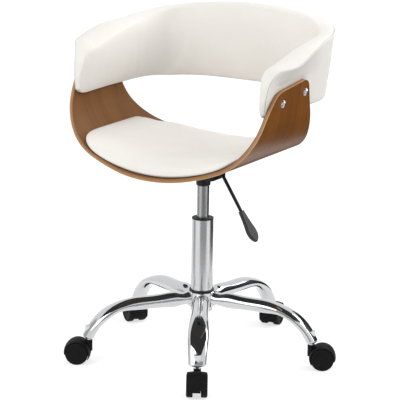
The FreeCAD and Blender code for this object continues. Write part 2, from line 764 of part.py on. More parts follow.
def crown_section(y, share):
    # the line of the cushion's top across the seat at one place, closed well above it
    base = ply + gap + board_thickness
    middle = base + cushion_middle * share
    shoulder = base + (cushion_middle + cushion_edge) / 2 * share
    edge = base + cushion_edge * share
    side_top = on_corner(base + (edge - base) * crown_side_share, board_side * crown_reach_share)
    side_mid = on_corner(edge, (board_side + seat_arc) / 2)
    quarter = on_seat(shoulder, seat_arc)
    up = V(0, 0, corner_radius)
    at = V(0, y, 0)
    edges = [arc(flip(side_top) + at, flip(side_mid) + at, flip(quarter) + at),
             arc(flip(quarter) + at, on_seat(middle, 0.0) + at, quarter + at),
             arc(quarter + at, side_mid + at, side_top + at),
             line(side_top + at, side_top + at + up),
             line(side_top + at + up, flip(side_top) + at + up),
             line(flip(side_top) + at + up, flip(side_top) + at)]
    return Part.Wire(edges)


crown = [crown_section(-cushion_front * s, t) for s, t in crown_front_shares]
crown += [crown_section(cushion_rear * s, t) for s, t in crown_rear_shares]
pad_depth = ply + gap + board_thickness + cushion_middle + cushion_edge
cushion = shell_band(ply + gap, pad_depth, board_side).common(plan_prism(0.0))
cushion = cushion.cut(Part.makeLoft(crown, True)).cut(board)
screw_top = seat_arc_radius - ply - board_thickness / 2
screw = down_cylinder(screw_shank, screw_top, seat_arc_radius)
head = dome(screw_head_radius, screw_head_height, V(0, 0, -seat_arc_radius), V(0, 0, -1))
screws = [under_seat(screw.fuse(head).removeSplitter(), a, y) for a, y in seat_places]
for angle, y in seat_places:
    board = board.cut(under_seat(screw, angle, y))
save(board, "seat_board")
save(cushion, "seat_cushion")
save_group(screws, "cushion_screws")


# Backrest band: sections across the band, lofted round from one arm to the other
band_half_width = arm_face(band_bottom) + band_swell


def on_arm(index):
    share_x, share_y, turn_deg = band_plan_shares[index]
    return share_x == 0 and share_y < 1


def band_station(index):
    share_x, share_y, turn_deg = band_plan_shares[index]
    y = share_y * (back_reach if share_y > 0 else front_reach)
    x = arm_face(band_bottom) - band_seat_gap if on_arm(index) else band_half_width * share_x
    turn = math.radians(turn_deg)
    return V(x, y, 0), V(-math.cos(turn), -math.sin(turn), 0)


def band_points(index, shift):
    # section points of one station, the outer ones moved inward by a shift
    foot, inward = band_station(index)
    step, crease, inner_crease, belly, inner_foot, foot_rise = band_section_shares[index]
    base = band_height * foot_rise

    def at(depth_share, height_share, move=0.0):
        depth = band_depth * depth_share + move
        return foot + inward * depth + V(0, 0, band_bottom + band_height * height_share)
    outer_foot = foot + inward * shift + V(0, 0, band_bottom + base)
    outer_foot = outer_foot - inward * (arm_face(band_bottom + base) - arm_face(band_bottom))
    outer_step = at(step[0], step[1], shift)
    if on_arm(index):
        # beside the arm the outer face runs straight along it
        outer_step.x = arm_face(outer_step.z) - band_seat_gap - shift
    return [outer_foot, outer_step, at(crease[0], crease[1], shift),
            at(inner_crease[0], inner_crease[1]), at(belly[0], belly[1]),
            at(inner_foot[0], inner_foot[1]), inward]


def pad_section(index):
    foot, step, crease, inner_crease, belly, inner_foot, inward = band_points(
        index, facing_thickness + gap)
    top_mid = (crease + inner_crease) / 2
    top_mid = top_mid + V(0, 0, (inner_crease - crease).Length * roll_share)
    foot_mid = (foot + inner_foot) / 2
    foot_mid = foot_mid - V(0, 0, (inner_foot - foot).Length * foot_roll_share)
    return Part.Wire([line(foot, step), line(step, crease), arc(crease, top_mid, inner_crease),
                      arc(inner_crease, belly, inner_foot), arc(inner_foot, foot_mid, foot)])


def facing_section(index):
    outer = band_points(index, 0.0)
    inner = band_points(index, facing_thickness)
    outer_top = outer[1] + (outer[2] - outer[1]) * facing_reach_share
    inner_top = inner[1] + (inner[2] - inner[1]) * facing_reach_share
    corners = [outer[0], outer[1], outer_top, inner_top, inner[1], inner[0], outer[0]]
    return Part.makePolygon(corners)


def core_quad(index, outer_shift, depth):
    near = band_points(index, outer_shift)
    rise_share = core_rise / (near[1] - near[0]).Length
    low_edge = near[0] + (near[1] - near[0]) * min(rise_share, 0.5)
    high_edge = near[1]
    back = near[6] * depth
    return Part.makePolygon([low_edge, high_edge, high_edge + back, low_edge + back, low_edge])


def core_section(index):
    return core_quad(index, facing_thickness + gap, core_thickness)


def core_room_section(index):
    # the open pocket in the padding that the core lies in
    return core_quad(index, 0.0, facing_thickness + gap + core_thickness + gap / 2)


def round_band(section):
    wires = [section(k) for k in range(len(band_plan_shares))]
    others = [mirrored(w) for w in wires[:-1]]
    return Part.makeLoft([Part.Wire(w.Edges) for w in others] + wires[::-1], True)


facing = round_band(facing_section)
core = round_band(core_section)
pad = round_band(pad_section).cut(round_band(core_room_section))

# arm bolts: a domed head outside the arm, a tee nut behind the core
lean = math.sin(rise)
core_back = (band_seat_gap + gap * 3 + facing_thickness + core_thickness) * lean
along = V(1, 0, 0)
bolt = Part.makeCylinder(arm_bolt_shank, core_back + tee_thickness + ply,
                         V(-core_back - tee_thickness, 0, 0), along)
bolt = bolt.fuse(dome(arm_bolt_head, arm_bolt_dome, V(ply, 0, 0), along)).removeSplitter()
tee = Part.makeCylinder(tee_radius, tee_thickness, V(-core_back - tee_thickness, 0, 0), along)
tee = tee.fuse(Part.makeCylinder(tee_barrel, core_thickness, V(-core_back, 0, 0), along))
bore = Part.makeCylinder(arm_bolt_shank + fit, 2 * overrun, V(-overrun, 0, 0), along)
tee_hole = Part.makeCylinder(tee_barrel + fit, 2 * overrun, V(-overrun, 0, 0), along)
pocket = Part.makeCylinder(tee_radius + fit, tee_thickness + fit + gap * 3,
                           V(-core_back - tee_thickness - fit, 0, 0), along)
tee = tee.removeSplitter().cut(bore)
bolts = []
tees = []
for height, y in arm_places:
    for hand in (1, -1):
        def seat(shape):
            shape = at_arm(shape, height, y)
            return shape if hand > 0 else mirrored(shape)
        bolts.append(seat(bolt))
        tees.append(seat(tee))
        facing = facing.cut(seat(bore))
        core = core.cut(seat(tee_hole))
        pad = pad.cut(seat(pocket))
save(facing, "backrest_facing")
save(core, "backrest_core")
save(pad, "backrest_pad")
save_group(bolts, "arm_bolts")
save_group(tees, "arm_tee_nuts")
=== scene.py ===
import math

import bmesh
import bpy
from mathutils import Matrix, Vector
from mathutils.bvhtree import BVHTree


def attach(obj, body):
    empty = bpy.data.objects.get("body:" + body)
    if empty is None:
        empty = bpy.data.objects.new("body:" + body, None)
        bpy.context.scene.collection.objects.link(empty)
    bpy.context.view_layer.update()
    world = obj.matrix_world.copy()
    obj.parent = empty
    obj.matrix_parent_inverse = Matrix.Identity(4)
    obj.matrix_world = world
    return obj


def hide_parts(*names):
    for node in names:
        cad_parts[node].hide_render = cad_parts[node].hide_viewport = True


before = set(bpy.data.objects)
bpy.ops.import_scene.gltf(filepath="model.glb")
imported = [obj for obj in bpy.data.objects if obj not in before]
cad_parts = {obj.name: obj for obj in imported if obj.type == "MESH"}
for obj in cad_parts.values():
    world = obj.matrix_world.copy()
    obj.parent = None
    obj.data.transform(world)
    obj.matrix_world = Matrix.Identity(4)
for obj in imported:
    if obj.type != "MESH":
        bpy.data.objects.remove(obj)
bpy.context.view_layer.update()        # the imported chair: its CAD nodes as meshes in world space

scene = bpy.context.scene
mm = 0.001               # piece sizes are in millimetres, meshes in metres


# the photograph's view: a long lens from the sitter's left front, well above the back's rim
view = {"azimuth": 31.3, "aside": -0.0113, "distance": 4.5, "height": 1.5374,
        "tiltDown": 14.57, "pan": 0.055, "roll": 0.896, "lens": 184.0, "sensor": 36, "clipEnd": 60}


def makeCamera():
    data = bpy.data.cameras.new("photoCamera")
    data.lens = view["lens"]
    data.sensor_width = view["sensor"]
    data.clip_end = view["clipEnd"]
    camera = bpy.data.objects.new("photoCamera", data)
    scene.collection.objects.link(camera)
    round_ = Matrix.Rotation(math.radians(view["azimuth"]), 4, "Z")
    place = Matrix.Translation((view["aside"], -view["distance"], view["height"]))
    turn = Matrix.Rotation(-math.radians(view["pan"]), 4, "Z")
    tilt = Matrix.Rotation(math.radians(90 - view["tiltDown"]), 4, "X")
    roll = Matrix.Rotation(math.radians(view["roll"]), 4, "Z")
    camera.matrix_world = round_ @ place @ turn @ tilt @ roll
    scene.camera = camera


makeCamera()
print("camera placed")


# node helpers
def addNode(tree, kind, **settings):
    node = tree.nodes.new(kind)
    for name, value in settings.items():
        if name in node.inputs:
            node.inputs[name].default_value = value
        else:
            setattr(node, name, value)
    return node


def link(tree, source, target):
    tree.links.new(source, target)


def newGroup(name, inputs, outputs):
    group = bpy.data.node_groups.new(name, "ShaderNodeTree")
    for direction, sockets in (("INPUT", inputs), ("OUTPUT", outputs)):
        for label, kind in sockets:
            group.interface.new_socket(label, in_out=direction, socket_type=kind)
    return group, group.nodes.new("NodeGroupInput"), group.nodes.new("NodeGroupOutput")


def mathNode(tree, operation, first, second):
    node = addNode(tree, "ShaderNodeMath", operation=operation)
    for socket, value in zip(node.inputs, (first, second)):
        if isinstance(value, (int, float)):
            socket.default_value = value
        else:
            link(tree, value, socket)
    return node.outputs[0]


def mixColour(tree, factor, first, second, blend="MIX"):
    # a mix node's sockets for colours: 0 is the factor, 6 and 7 the two colours, 2 the result
    node = addNode(tree, "ShaderNodeMix", data_type="RGBA", blend_type=blend)
    for index, value in ((0, factor), (6, first), (7, second)):
        if isinstance(value, (int, float, tuple)):
            node.inputs[index].default_value = value
        else:
            link(tree, value, node.inputs[index])
    return node.outputs[2]


def spread(tree, value, low, high, fromLow=0.0, fromHigh=1.0):
    node = addNode(tree, "ShaderNodeMapRange")
    link(tree, value, node.inputs["Value"])
    node.inputs["From Min"].default_value = fromLow
    node.inputs["From Max"].default_value = fromHigh
    node.inputs["To Min"].default_value = low
    node.inputs["To Max"].default_value = high
    return node.outputs["Result"]


def makeHandling():
    # broad soft smudges and fine dust, as values from 0 to 1
    group, inside, outside = newGroup(
        "handling", [("Vector", "NodeSocketVector"), ("Size", "NodeSocketFloat")],
        [("Smudge", "NodeSocketFloat"), ("Dust", "NodeSocketFloat")])
    broad = addNode(group, "ShaderNodeTexNoise", Detail=3.0, Roughness=0.55)
    fine = addNode(group, "ShaderNodeTexNoise", Scale=420.0, Detail=2.0)
    link(group, inside.outputs["Vector"], broad.inputs["Vector"])
    link(group, inside.outputs["Size"], broad.inputs["Scale"])
    link(group, inside.outputs["Vector"], fine.inputs["Vector"])
    link(group, spread(group, broad.outputs[0], 0, 1, 0.38, 0.66), outside.inputs["Smudge"])
    link(group, spread(group, fine.outputs[0], 0, 1, 0.55, 0.75), outside.inputs["Dust"])
    return group


def makePebble():
    # rounded grain cells with fine creases between them, and slow unevenness under them
    group, inside, outside = newGroup(
        "pebble", [("Vector", "NodeSocketVector"), ("Cells", "NodeSocketFloat")],
        [("Height", "NodeSocketFloat"), ("Crease", "NodeSocketFloat")])
    warp = addNode(group, "ShaderNodeTexNoise", Scale=300.0, Detail=1.0)
    shift = addNode(group, "ShaderNodeVectorMath", operation="SCALE")
    shift.inputs["Scale"].default_value = 0.0016
    place = addNode(group, "ShaderNodeVectorMath", operation="ADD")
    cells = addNode(group, "ShaderNodeTexVoronoi", feature="SMOOTH_F1", Smoothness=0.35)
    slow = addNode(group, "ShaderNodeTexNoise", Scale=70.0, Detail=2.0)
    link(group, inside.outputs["Vector"], warp.inputs["Vector"])
    link(group, warp.outputs["Color"], shift.inputs[0])
    link(group, inside.outputs["Vector"], place.inputs[0])
    link(group, shift.outputs[0], place.inputs[1])
    link(group, place.outputs[0], cells.inputs["Vector"])
    link(group, inside.outputs["Cells"], cells.inputs["Scale"])
    link(group, inside.outputs["Vector"], slow.inputs["Vector"])
    dome = spread(group, cells.outputs["Distance"], 1, 0, 0.1, 0.75)
    link(group, mathNode(group, "ADD", dome, mathNode(group, "MULTIPLY", slow.outputs[0], 0.8)),
         outside.inputs["Height"])
    link(group, spread(group, cells.outputs["Distance"], 0, 1, 0.45, 0.8), outside.inputs["Crease"])
    return group


def makeFigure():
    # straight veneer figure that runs along V: broad bands, streaks and short open pores
    group, inside, outside = newGroup(
        "figure", [("Vector", "NodeSocketVector"), ("Light", "NodeSocketColor"),
                   ("Dark", "NodeSocketColor")],
        [("Color", "NodeSocketColor"), ("Pores", "NodeSocketFloat")])

    def stretched(across, along, **settings):
        mapping = addNode(group, "ShaderNodeMapping")
        mapping.inputs["Scale"].default_value = (across, along, 1.0)
        texture = addNode(group, "ShaderNodeTexNoise", Scale=1.0, **settings)
        link(group, inside.outputs["Vector"], mapping.inputs["Vector"])
        link(group, mapping.outputs[0], texture.inputs["Vector"])
        return texture.outputs[0]
    broad = spread(group, stretched(26.0, 1.6, Detail=2.0, Distortion=0.5), 0, 1, 0.35, 0.66)
    streak = spread(group, stretched(240.0, 3.0, Detail=3.0, Roughness=0.6), 0, 1, 0.36, 0.68)
    pores = spread(group, stretched(1500.0, 42.0, Detail=1.0), 0, 1, 0.60, 0.72)
    tone = mathNode(group, "ADD", mathNode(group, "MULTIPLY", broad, 0.45),
                    mathNode(group, "MULTIPLY", streak, 0.55))
    figured = mixColour(group, tone, inside.outputs["Light"], inside.outputs["Dark"])
    porous = mixColour(group, mathNode(group, "MULTIPLY", pores, 0.35), figured,
                       (0.03, 0.012, 0.004, 1.0))
    link(group, porous, outside.inputs["Color"])
    link(group, pores, outside.inputs["Pores"])
    return group


handling = makeHandling()
pebble = makePebble()
figure = makeFigure()


def newMaterial(name, **settings):
    material = bpy.data.materials.new(name)
    material.use_nodes = True
    tree = material.node_tree
    shader = tree.nodes["Principled BSDF"]
    for label, value in settings.items():
        shader.inputs[label.replace("_", " ")].default_value = value
    where = addNode(tree, "ShaderNodeTexCoord")
    return material, tree, shader, where


def placeGroup(tree, group, vector, **settings):
    node = addNode(tree, "ShaderNodeGroup", node_tree=group)
    link(tree, vector, node.inputs["Vector"])
    for label, value in settings.items():
        node.inputs[label].default_value = value
    return node


def addBump(tree, shader, height, distance):
    bump = addNode(tree, "ShaderNodeBump", Strength=1.0, Distance=distance)
    link(tree, height, bump.inputs["Height"])
    link(tree, bump.outputs[0], shader.inputs["Normal"])


def makeChrome(name, colour, roughness, smudge):
    # bright plate: almost no colour of its own, dulled where it is handled
    material, tree, shader, where = newMaterial(name, Metallic=1.0)
    marks = placeGroup(tree, handling, where.outputs["Object"], Size=14.0)
    dulled = tuple(c * 0.9 for c in colour[:3]) + (1.0,)
    link(tree, mixColour(tree, marks.outputs["Dust"], colour, dulled), shader.inputs["Base Color"])
    link(tree, spread(tree, marks.outputs["Smudge"], roughness, roughness + smudge),
         shader.inputs["Roughness"])
    return material


def makePlastic(name, colour, roughness, cells, depth, sheen=0.28):
    # moulded plastic or rubber with a fine spark-eroded texture
    material, tree, shader, where = newMaterial(name, Specular_IOR_Level=sheen)
    marks = placeGroup(tree, handling, where.outputs["Object"], Size=22.0)
    grain = placeGroup(tree, pebble, where.outputs["Object"], Cells=cells)
    paler = tuple(min(1.0, c * 1.5 + 0.003) for c in colour[:3]) + (1.0,)
    link(tree, mixColour(tree, marks.outputs["Dust"], colour, paler), shader.inputs["Base Color"])
    link(tree, spread(tree, marks.outputs["Smudge"], roughness, roughness + 0.12),
         shader.inputs["Roughness"])
    addBump(tree, shader, grain.outputs["Height"], depth)
    return material


# the vinyl's tones; the painted shade tone greys nooks and recesses, set by its occlusion reach,
# share and range
vinyl = {"clean": (0.855, 0.832, 0.790, 1.0), "handled": (0.835, 0.808, 0.762, 1.0),
         "crease": (0.60, 0.57, 0.52, 1.0), "paintedShade": (0.44, 0.42, 0.385, 1.0), "shine": 0.42,
         "cells": 820.0, "creaseShare": 0.16, "paintedShadeReach": 0.022, "paintedShadeShare": 0.75,
         "paintedShadeFrom": (0.35, 0.95), "roughness": (0.43, 0.52), "grainRise": 0.12, "foldRise": 3.0}


def makeLeatherette():
    # off-white vinyl: shallow pebble grain, greyer in the grain's creases, painted shade in its
    # nooks and recesses from an occlusion node, soft stretched folds
    material, tree, shader, where = newMaterial("leatherette", Specular_IOR_Level=vinyl["shine"])
    grain = placeGroup(tree, pebble, where.outputs["Object"], Cells=vinyl["cells"])
    marks = placeGroup(tree, handling, where.outputs["Object"], Size=7.0)
    folds = addNode(tree, "ShaderNodeTexNoise", Scale=11.0, Detail=1.5, Roughness=0.4)
    paintedShade = addNode(tree, "ShaderNodeAmbientOcclusion", samples=8, Distance=vinyl["paintedShadeReach"])
    link(tree, where.outputs["Object"], folds.inputs["Vector"])
    colour = mixColour(tree, marks.outputs["Smudge"], vinyl["clean"], vinyl["handled"])
    share = mathNode(tree, "MULTIPLY", grain.outputs["Crease"], vinyl["creaseShare"])
    colour = mixColour(tree, share, colour, vinyl["crease"])
    # painted shade: the colour turns towards the grey shade tone where the occlusion node finds a
    # nook or recess
    share = spread(tree, paintedShade.outputs["AO"], vinyl["paintedShadeShare"], 0.0, *vinyl["paintedShadeFrom"])
    link(tree, mixColour(tree, share, colour, vinyl["paintedShade"]), shader.inputs["Base Color"])
    link(tree, spread(tree, marks.outputs["Smudge"], *vinyl["roughness"]),
         shader.inputs["Roughness"])
    fine = mathNode(tree, "MULTIPLY", grain.outputs["Height"], vinyl["grainRise"])
    broad = mathNode(tree, "MULTIPLY", folds.outputs[0], vinyl["foldRise"])
    addBump(tree, shader, mathNode(tree, "ADD", fine, broad), mm)
    return material


veneer = {"shine": 0.16, "coatRoughness": 0.33, "coatIndex": 1.5, "roughness": (0.40, 0.55),
          "smudge": 0.06, "poreDepth": 0.12}


def makeVeneer(name, light, dark, coat):
    # open-pored walnut under a satin lacquer, figured along the bend
    material, tree, shader, where = newMaterial(
        name, Coat_Weight=coat, Coat_Roughness=veneer["coatRoughness"],
        Coat_IOR=veneer["coatIndex"], Specular_IOR_Level=veneer["shine"])
    wood = placeGroup(tree, figure, where.outputs["UV"], Light=light, Dark=dark)
    marks = placeGroup(tree, handling, where.outputs["Object"], Size=11.0)
    link(tree, wood.outputs["Color"], shader.inputs["Base Color"])
    rough = mathNode(tree, "ADD", spread(tree, wood.outputs["Pores"], *veneer["roughness"]),
                     mathNode(tree, "MULTIPLY", marks.outputs["Smudge"], veneer["smudge"]))
    link(tree, rough, shader.inputs["Roughness"])
    addBump(tree, shader, spread(tree, wood.outputs["Pores"], 1, 0), veneer["poreDepth"] * mm)
    return material


# the shell's edge from its outer to its inner face: each ply's place in the thickness and its tone;
# the pale band near the outer face is partly a painted highlight of the eased edge, the darkest
# inner band partly painted shade
plyBandsWithPaintedLight = ((0.0, (0.48, 0.26, 0.11)), (0.09, (0.78, 0.48, 0.24)), (0.27, (0.32, 0.138, 0.042)),
         (0.42, (0.56, 0.30, 0.12)), (0.57, (0.28, 0.115, 0.034)), (0.72, (0.50, 0.26, 0.10)),
         (0.90, (0.22, 0.090, 0.028)))


def makePlyEdge():
    # pale long-grain and dark end-grain layers in turn, the inner face veneer darkest and partly
    # painted shade, the pale band by the outer face partly a painted highlight
    material, tree, shader, where = newMaterial("plyEdge", Roughness=0.5)
    split = addNode(tree, "ShaderNodeSeparateXYZ")
    link(tree, where.outputs["UV"], split.inputs[0])
    ramp = addNode(tree, "ShaderNodeValToRGB")
    band = ramp.color_ramp
    band.interpolation = "B_SPLINE"
    while len(band.elements) < len(plyBandsWithPaintedLight):
        band.elements.new(0.5)
    # the ramp's tones hold real ply colour together with a painted highlight by the outer face and
    # painted shade at the inner face
    for element, (place, tone) in zip(band.elements, plyBandsWithPaintedLight):
        element.position = place
        element.color = tone + (1.0,)
    link(tree, split.outputs["Y"], ramp.inputs["Fac"])
    wood = placeGroup(tree, figure, where.outputs["UV"], Light=(0.9, 0.9, 0.9, 1),
                      Dark=(0.62, 0.60, 0.58, 1))
    link(tree, mixColour(tree, 0.6, ramp.outputs["Color"], wood.outputs["Color"], "MULTIPLY"),
         shader.inputs["Base Color"])
    return material


# after its colour, chrome has its roughness and what smudges add; plastic its roughness, its grain
# cells per metre and the grain's depth in metres; a veneer its light and dark tone and its coat
finishes = {
    "chrome_base": makeChrome("chromePlate", (0.60, 0.605, 0.615, 1), 0.06, 0.05),
    "chrome_column": makeChrome("chromeTube", (0.58, 0.582, 0.59, 1), 0.20, 0.07),
    "bolt_chrome": makeChrome("chromeBolt", (0.40, 0.385, 0.425, 1), 0.16, 0.06),
    "steel": makeChrome("zincSteel", (0.60, 0.61, 0.62, 1), 0.28, 0.12),
    "black_metal": makePlastic("blackEnamel", (0.012, 0.012, 0.013, 1), 0.34, 1400.0, 0.00004),
    "black_plastic": makePlastic("blackMoulding", (0.016, 0.016, 0.018, 1), 0.42, 1500.0, 0.00005),
    "caster_black": makePlastic("casterMoulding", (0.007, 0.007, 0.0075, 1), 0.55, 1100.0, 0.00008,
                                sheen=0.12),
    "rubber_black": makePlastic("blackRubber", (0.012, 0.012, 0.012, 1), 0.72, 1300.0, 0.00006,
                                sheen=0.12),
    "paddle": makePlastic("paddleMoulding", (0.030, 0.030, 0.032, 1), 0.48, 1000.0, 0.00010,
                          sheen=0.42),
    "leatherette": makeLeatherette(),
    "walnut": makeVeneer("veneerOutside", (0.250, 0.090, 0.009, 1), (0.120, 0.036, 0.004, 1), 0.10),
}
thread = makePlastic("thread", (0.93, 0.915, 0.87, 1), 0.55, 2600.0, 0.00002)
veneerInside = makeVeneer("veneerInside", (0.255, 0.105, 0.024, 1), (0.150, 0.055, 0.011, 1), 0.10)
plyEdge = makePlyEdge()
finishes["board"] = plyEdge
print("finishes made:", len(bpy.data.materials))


# every CAD node that stays takes its finish from its slot in the record, the lift a duller one
ownFinish = {"gas_cylinder": makeChrome("liftTube", (0.37, 0.372, 0.376, 1), 0.22, 0.06)}


def dressNodes():
    dressed = 0
    for name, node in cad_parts.items():
        for place in node.material_slots:
            slot = place.material.name.split(".")[0]
            if slot in finishes:
                place.link = "OBJECT"
                place.material = ownFinish.get(name, finishes[slot])
                dressed += 1
    return dressed


print("CAD nodes dressed:", dressNodes())


# mesh helpers
def gridFaces(rows, columns, wrap=False):
    faces = []
    last = columns if wrap else columns - 1
    for i in range(rows - 1):
        here = i * columns
        for j in range(last):
            k = (j + 1) % columns
            faces.append((here + j, here + k, here + columns + k, here + columns + j))
    return faces


def makePiece(name, points, faces, materials):
    mesh = bpy.data.meshes.new(name)
    mesh.from_pydata([p * mm for p in points], [], faces)
    for material in materials:
        mesh.materials.append(material)
    mesh.polygons.foreach_set("use_smooth", [True] * len(mesh.polygons))
    piece = bpy.data.objects.new(name, mesh)
    scene.collection.objects.link(piece)
    return piece


def faceOutwards(piece):
    work = bmesh.new()
    work.from_mesh(piece.data)
    bmesh.ops.remove_doubles(work, verts=work.verts, dist=0.00001)
    bmesh.ops.recalc_face_normals(work, faces=work.faces)
    work.to_mesh(piece.data)
    work.free()


def fit(piece, body, slot, *nodes):
    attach(piece, body)
    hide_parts(*nodes)


def through(points, t):
    # a smooth line through the points; t counts them
    last = len(points) - 1
    i = min(int(t), last - 1)
    f = t - i
    a, b, c, d = (points[max(0, min(last, k))] for k in (i - 1, i, i + 1, i + 2))
    if i == 0:
        a = b * 2 - c
    if i == last - 1:
        d = c * 2 - b
    return (b * 2 + (c - a) * f + (a * 2 - b * 5 + c * 4 - d) * (f * f)
            + (b * 3 - a - c * 3 + d) * (f ** 3)) * 0.5


def subdivide(piece, levels):
    modifier = piece.modifiers.new("smoothing", "SUBSURF")
    modifier.levels = levels
    modifier.render_levels = levels


# bent plywood shell: one sheet, cut to its outline, bent over a wide seat arc and two corner arcs.
# Its long edges go through shares of their reach and of the rise to the arm's top
shell = {"bottom": 459.0, "ply": 9.0, "seatRadius": 435.0, "seatDeg": 21.8, "cornerRadius": 145.0,
         "armDeg": 82.0, "front": 232.0, "rear": 167.0, "topFront": (-126.0, 665.0),
         "topRear": (4.0, 680.0), "frontRound": 45.0, "rearRound": 24.0, "edgeEase": 0.9,
         "frontShares": ((0.94, 0.10), (0.87, 0.31), (0.79, 0.52), (0.69, 0.76)),
         "rearShares": ((0.90, 0.075), (0.75, 0.165), (0.54, 0.30), (0.33, 0.50), (0.18, 0.74)),
         "seatRows": 14, "cornerRows": 26, "armRows": 14, "topRows": 16, "columns": 30,
         "lineSteps": 40, "lineStart": 20.0, "roundSteps": 12, "tangentSteps": 12,
         "columnEase": 0.035, "insideShift": 0.7, "bevelSteps": 3, "bevelOverDeg": 50,
         "sharpOverDeg": 60}

seatArc = math.radians(shell["seatDeg"])
armAngle = math.radians(shell["armDeg"])
seatRun = shell["seatRadius"] * seatArc
cornerRun = shell["cornerRadius"] * (armAngle - seatArc)
seatAxis = shell["bottom"] + shell["seatRadius"]
cornerX = (shell["seatRadius"] - shell["cornerRadius"]) * math.sin(seatArc)
cornerZ = seatAxis - (shell["seatRadius"] - shell["cornerRadius"]) * math.cos(seatArc)


def bendPoint(run, y, depth):
    # a place on the sheet: its run from the middle line, its y, and its depth under the outer face
    side = -1 if run < 0 else 1
    run = abs(run)
    if run < seatRun:
        angle = run / shell["seatRadius"]
        reach = shell["seatRadius"] - depth
        return Vector((side * reach * math.sin(angle), y, seatAxis - reach * math.cos(angle)))
    angle = min(armAngle, seatArc + (run - seatRun) / shell["cornerRadius"])
    beyond = max(0.0, run - seatRun - cornerRun)
    reach = shell["cornerRadius"] - depth
    x = cornerX + reach * math.sin(angle) + beyond * math.cos(angle)
    return Vector((side * x, y, cornerZ - reach * math.cos(angle) + beyond * math.sin(angle)))


def runAtHeight(z):
    # the run at which the outer face reaches a height on the flat arm
    top = bendPoint(seatRun + cornerRun, 0, 0)
    return seatRun + cornerRun + (z - top.z) / math.sin(armAngle)


def edgeLine(reach, shares, top):
    # one long edge in side view, as (y, z) points from under the seat to the arm's top
    bottom = shell["bottom"]
    rise = shell["topFront"][1] - bottom
    points = [Vector((reach, bottom - shell["lineStart"])), Vector((reach, bottom))]
    points += [Vector((reach * s, bottom + rise * h)) for s, h in shares]
    points.append(Vector(top))
    count = shell["lineSteps"] * (len(points) - 1)
    return [through(points, k / shell["lineSteps"]) for k in range(count + 1)]


def yAtHeight(line, z):
    for a, b in zip(line, line[1:]):
        if b.y >= z:
            return a.x + (b.x - a.x) * (z - a.y) / (b.y - a.y)
    return line[-1].x


def roundedEnd(line, other, radius):
    # the end of one long edge: cut back from its corner and turned into the top line by an arc
    corner = line[-1]
    along = (other - corner).normalized()
    back = (line[-shell["tangentSteps"]] - corner).normalized()
    half = back.angle(along) / 2
    cut = radius / math.tan(half)
    kept = [p for p in line if (p - corner).length > cut]
    centre = corner + (back + along).normalized() * (radius / math.sin(half))
    first = corner + back * cut - centre
    last = corner + along * cut - centre
    turn = first.angle_signed(last)
    arc = []
    for k in range(shell["roundSteps"] + 1):
        a = -turn * k / shell["roundSteps"]
        arc.append(centre + Vector((first.x * math.cos(a) - first.y * math.sin(a),
                                    first.x * math.sin(a) + first.y * math.cos(a))))
    return kept, arc


frontLine = edgeLine(-shell["front"], shell["frontShares"], shell["topFront"])
rearLine = edgeLine(shell["rear"], shell["rearShares"], shell["topRear"])


def shellRows():
    # each row: its front and rear ends as (run, y); the last rows turn into the arm's sloping top
    frontKept, frontArc = roundedEnd(frontLine, Vector(shell["topRear"]), shell["frontRound"])
    rearKept, rearArc = roundedEnd(rearLine, Vector(shell["topFront"]), shell["rearRound"])
    turnHeight = min(frontArc[0].y, rearArc[0].y)
    flat = seatRun + cornerRun
    runs = [seatRun * k / shell["seatRows"] for k in range(shell["seatRows"])]
    runs += [seatRun + cornerRun * k / shell["cornerRows"] for k in range(shell["cornerRows"])]
    top = runAtHeight(turnHeight)
    runs += [flat + (top - flat) * k / shell["armRows"] for k in range(shell["armRows"] + 1)]
    rows = []
    for run in runs:
        z = bendPoint(run, 0, 0).z
        rows.append(((run, yAtHeight(frontLine, z)), (run, yAtHeight(rearLine, z))))
    chains = []
    for kept, arc in ((frontKept, frontArc), (rearKept, rearArc)):
        chains.append([p for p in kept if p.y > turnHeight] + arc)
    for k in range(1, shell["topRows"] + 1):
        ends = []
        for chain in chains:
            lengths = [0.0]
            for a, b in zip(chain, chain[1:]):
                lengths.append(lengths[-1] + (b - a).length)
            want = lengths[-1] * k / shell["topRows"]
            j = next(i for i in range(1, len(chain)) if lengths[i] >= want - 1e-6)
            f = (want - lengths[j - 1]) / max(1e-9, lengths[j] - lengths[j - 1])
            p = chain[j - 1].lerp(chain[j], f)
            ends.append((runAtHeight(p.y), p.x))
        rows.append(tuple(ends))
    mirrored = [((-f[0], f[1]), (-r[0], r[1])) for f, r in rows[:0:-1]]
    return mirrored + rows


